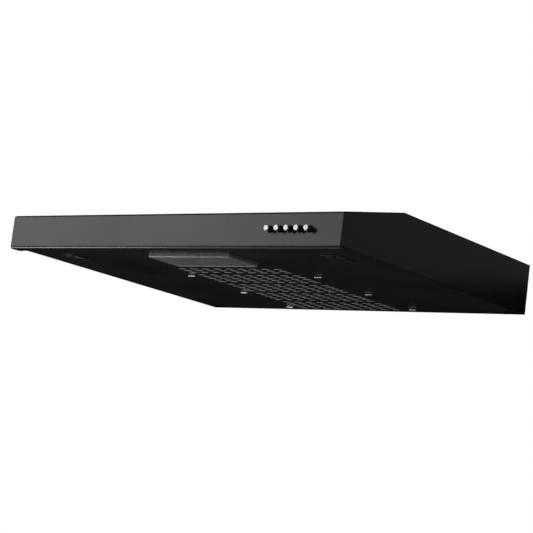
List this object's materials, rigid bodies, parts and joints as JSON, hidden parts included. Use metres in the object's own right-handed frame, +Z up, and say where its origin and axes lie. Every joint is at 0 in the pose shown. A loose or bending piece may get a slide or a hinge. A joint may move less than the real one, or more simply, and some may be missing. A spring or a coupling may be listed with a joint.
{
  "type": "under cabinet range hood",
  "caption": "Slim black under-cabinet range hood with a sloping top, hinged slotted grille panel, lamp and push buttons.",
  "frame": {"origin": "centre of the four mounting holes, in the plane of the flat top face", "axes": "+X to the right across the hood, +Y back to the wall, +Z up into the cabinet"},
  "size_m": [0.6, 0.5205, 0.1153],
  "materials": {
    "casing": "semi-gloss black powder coat",
    "front": "semi-gloss black powder coat",
    "grille_paint": "semi-gloss black powder coat",
    "zinc": "zinc-plated sheet",
    "fixings": "zinc-plated",
    "collar_plastic": "fine moulded grain",
    "blower_plastic": "moulded, fine grain",
    "motor_metal": "cast",
    "shaft_steel": "ground",
    "rubber": "matt",
    "box_plastic": "moulded",
    "capacitor": "moulded",
    "lead_jacket": "smooth jacket",
    "switch_plastic": "moulded",
    "button_chrome": "satin chrome plate",
    "holder": "moulded",
    "bulb_cap": "rolled thread",
    "bulb_glass": "clear",
    "fleece": "non-woven fleece",
    "wire": "drawn wire",
    "lens": "translucent, stippled",
    "latch_plastic": "moulded"
  },
  "bodies": {
    "hood": {"top_panel": "casing", "slope_panel": "casing", "collar_deck": "casing", "back_panel": "casing", "left_side": "casing", "right_side": "casing", "front_panel": "front", "mounting_rails": "zinc", "body_rivets": "fixings", "outlet_collar": "collar_plastic", "collar_screws": "fixings", "flap_pin": "fixings", "outlet_box": "blower_plastic", "scroll_housing": "blower_plastic", "scroll_cover": "blower_plastic", "blower_bolts": "fixings", "motor": "motor_metal", "motor_grommets": "rubber", "motor_screws": "fixings", "terminal_box": "box_plastic", "terminal_cover": "box_plastic", "capacitor": "capacitor", "capacitor_clip": "zinc", "cable_gland": "collar_plastic", "gland_nut": "collar_plastic", "wire_loom": "lead_jacket", "motor_lead": "lead_jacket", "switch_block": "switch_plastic", "lamp_bracket": "zinc", "lamp_holder": "holder", "bulb_base": "bulb_cap", "lamp_bulb": "bulb_glass", "hinge_brackets": "zinc", "hinge_pins": "fixings"},
    "grille": {"grille_panel": "grille_paint", "grease_filter": "fleece", "filter_wires": "wire", "lamp_lens": "lens", "latch_frames": "latch_plastic"},
    "latch_left": {"latch_left": "latch_plastic"},
    "latch_right": {"latch_right": "latch_plastic"},
    "impeller": {"motor_shaft": "shaft_steel", "impeller": "blower_plastic", "impeller_nut": "fixings"},
    "flap_left": {"flap_left": "collar_plastic"},
    "flap_right": {"flap_right": "collar_plastic"},
    "button_1": {"button_1": "button_chrome"},
    "button_2": {"button_2": "button_chrome"},
    "button_3": {"button_3": "button_chrome"},
    "button_4": {"button_4": "button_chrome"},
    "button_5": {"button_5": "button_chrome"}
  },
  "joints": [
    {"name": "grille_swing", "type": "hinge", "parent": "hood", "child": "grille", "pos_m": [0, 0.174, -0.0698], "axis": [1, 0, 0], "range_deg": [0, 85]},
    {"name": "latch_left_slide", "type": "slide", "parent": "grille", "child": "latch_left", "axis": [0, 1, 0], "range_m": [0, 0.0075], "stiffness_N_per_m": 400},
    {"name": "latch_right_slide", "type": "slide", "parent": "grille", "child": "latch_right", "axis": [0, 1, 0], "range_m": [0, 0.0075], "stiffness_N_per_m": 400},
    {"name": "impeller_spin", "type": "hinge", "parent": "hood", "child": "impeller", "pos_m": [-0.15, -0.02, -0.04], "axis": [0, 0, 1], "continuous": true},
    {"name": "flap_left_lift", "type": "hinge", "parent": "hood", "child": "flap_left", "pos_m": [0, 0.01, 0.007], "axis": [0, 1, 0], "range_deg": [0, 75]},
    {"name": "flap_right_lift", "type": "hinge", "parent": "hood", "child": "flap_right", "pos_m": [0, 0.01, 0.007], "axis": [0, -1, 0], "range_deg": [0, 75]},
    {"name": "button_1_press", "type": "slide", "parent": "hood", "child": "button_1", "axis": [0, 1, 0], "range_m": [0, 0.0035], "stiffness_N_per_m": 500},
    {"name": "button_2_press", "type": "slide", "parent": "hood", "child": "button_2", "axis": [0, 1, 0], "range_m": [0, 0.0035], "stiffness_N_per_m": 500},
    {"name": "button_3_press", "type": "slide", "parent": "hood", "child": "button_3", "axis": [0, 1, 0], "range_m": [0, 0.0035], "stiffness_N_per_m": 500},
    {"name": "button_4_press", "type": "slide", "parent": "hood", "child": "button_4", "axis": [0, 1, 0], "range_m": [0, 0.0035], "stiffness_N_per_m": 500},
    {"name": "button_5_press", "type": "slide", "parent": "hood", "child": "button_5", "axis": [0, 1, 0], "range_m": [0, 0.0035], "stiffness_N_per_m": 500}
  ]
}
